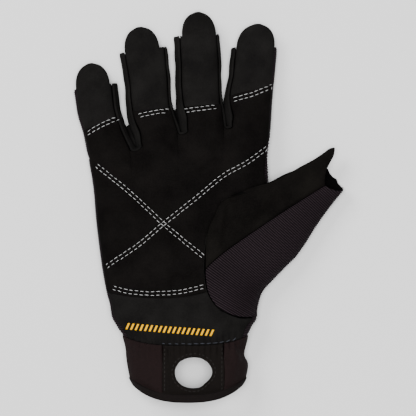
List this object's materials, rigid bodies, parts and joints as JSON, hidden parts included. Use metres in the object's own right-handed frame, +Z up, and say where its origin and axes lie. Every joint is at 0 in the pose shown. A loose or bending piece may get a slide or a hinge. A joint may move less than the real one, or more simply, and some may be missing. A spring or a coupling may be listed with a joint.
{
  "type": "climbing glove",
  "caption": "Fingerless climbing glove lying palm up, with a suede palm, rounded fingertip tongues, a ribbed thumb and a cuff with a clip-on hole.",
  "frame": {"origin": "middle of the flat underside's box, on the surface that the glove lies on", "axes": "+Y from the cuff to the fingers, +X towards the thumb, +Z up out of the palm"},
  "size_m": [0.1524, 0.2172, 0.0328],
  "materials": {
    "overlay_suede": "matte suede",
    "palm_suede": "matte worn suede",
    "rib_knit": "matte ribbed stretch knit",
    "woven_side": "matte dense weave",
    "woven_patch": "matte coated weave",
    "binding_tape": "matte tape"
  },
  "bodies": {
    "root": {"palm_panel": "palm_suede", "palm_overlay": "overlay_suede", "fourchette_little_ring": "rib_knit", "fourchette_ring_middle": "rib_knit", "fourchette_middle_index": "rib_knit", "back_panel": "rib_knit", "thumb_palm": "palm_suede", "thumb_back": "rib_knit", "cuff_left": "woven_side", "cuff_right": "woven_side", "cuff_patch": "woven_patch", "cuff_back": "woven_side", "hem_binding": "binding_tape"}
  },
  "joints": []
}
